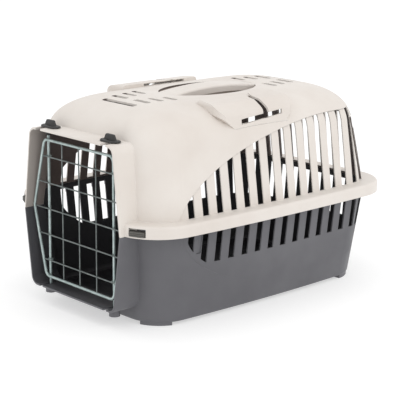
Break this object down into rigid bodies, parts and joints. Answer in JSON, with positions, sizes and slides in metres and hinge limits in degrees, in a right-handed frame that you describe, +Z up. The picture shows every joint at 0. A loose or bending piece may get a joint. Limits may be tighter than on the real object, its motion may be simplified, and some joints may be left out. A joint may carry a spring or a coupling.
{
  "type": "pet transport carrier",
  "caption": "Two-shell pet carrier: vented lift-off top cover with a moulded handle, ribbed tub, and a wire mesh door in a front hood held by pull-up rods.",
  "frame": {"origin": "on the ground under the middle of the carrier's length and width", "axes": "+Z up, +Y along the length towards the rear, the door faces -Y, +X to the right seen from the front"},
  "size_m": [0.328, 0.478, 0.2918],
  "materials": {
    "cover_plastic": "fine grained, satin",
    "tub_plastic": "fine grained, satin",
    "door_wire": "galvanised",
    "rod_steel": "galvanised",
    "knob_plastic": "matte",
    "latch_plastic": "matte, ribbed"
  },
  "bodies": {
    "tub": {"bottom_tub": "tub_plastic"},
    "cover": {"top_cover": "cover_plastic", "finger_recess": "cover_plastic", "carry_handle": "cover_plastic", "belt_guide_right": "cover_plastic", "belt_guide_left": "cover_plastic"},
    "door": {"door_frame": "door_wire", "door_cross_wire_1": "door_wire", "door_cross_wire_2": "door_wire", "door_cross_wire_3": "door_wire", "door_cross_wire_4": "door_wire", "door_cross_wire_5": "door_wire", "door_upright_left": "door_wire", "door_upright_middle": "door_wire", "door_upright_right": "door_wire", "door_eyes_left": "door_wire", "door_eyes_right": "door_wire"},
    "bolt_left": {"latch_rod_left": "rod_steel", "pull_knob_left": "knob_plastic"},
    "bolt_right": {"latch_rod_right": "rod_steel", "pull_knob_right": "knob_plastic"},
    "latch_front_right": {"shell_latch_front_right": "latch_plastic"},
    "latch_rear_right": {"shell_latch_rear_right": "latch_plastic"},
    "latch_rear_left": {"shell_latch_rear_left": "latch_plastic"},
    "latch_front_left": {"shell_latch_front_left": "latch_plastic"}
  },
  "joints": [
    {"name": "cover_lift", "type": "slide", "parent": "tub", "child": "cover", "axis": [0, 0, 1], "range_m": [0, 0.15]},
    {"name": "door_swing", "type": "hinge", "parent": "cover", "child": "door", "pos_m": [-0.0704, -0.2216, 0.134], "axis": [0, 0, -1], "range_deg": [0, 120]},
    {"name": "bolt_left_pull", "type": "slide", "parent": "cover", "child": "bolt_left", "axis": [0, 0, 1], "range_m": [0, 0.012]},
    {"name": "bolt_right_pull", "type": "slide", "parent": "door", "child": "bolt_right", "axis": [0, 0, 1], "range_m": [0, 0.012]},
    {"name": "latch_front_right_push", "type": "slide", "parent": "cover", "child": "latch_front_right", "axis": [0, 0, 1], "range_m": [0, 0.0035]},
    {"name": "latch_rear_right_push", "type": "slide", "parent": "cover", "child": "latch_rear_right", "axis": [0, 0, 1], "range_m": [0, 0.0035]},
    {"name": "latch_rear_left_push", "type": "slide", "parent": "cover", "child": "latch_rear_left", "axis": [0, 0, 1], "range_m": [0, 0.0035]},
    {"name": "latch_front_left_push", "type": "slide", "parent": "cover", "child": "latch_front_left", "axis": [0, 0, 1], "range_m": [0, 0.0035]}
  ]
}
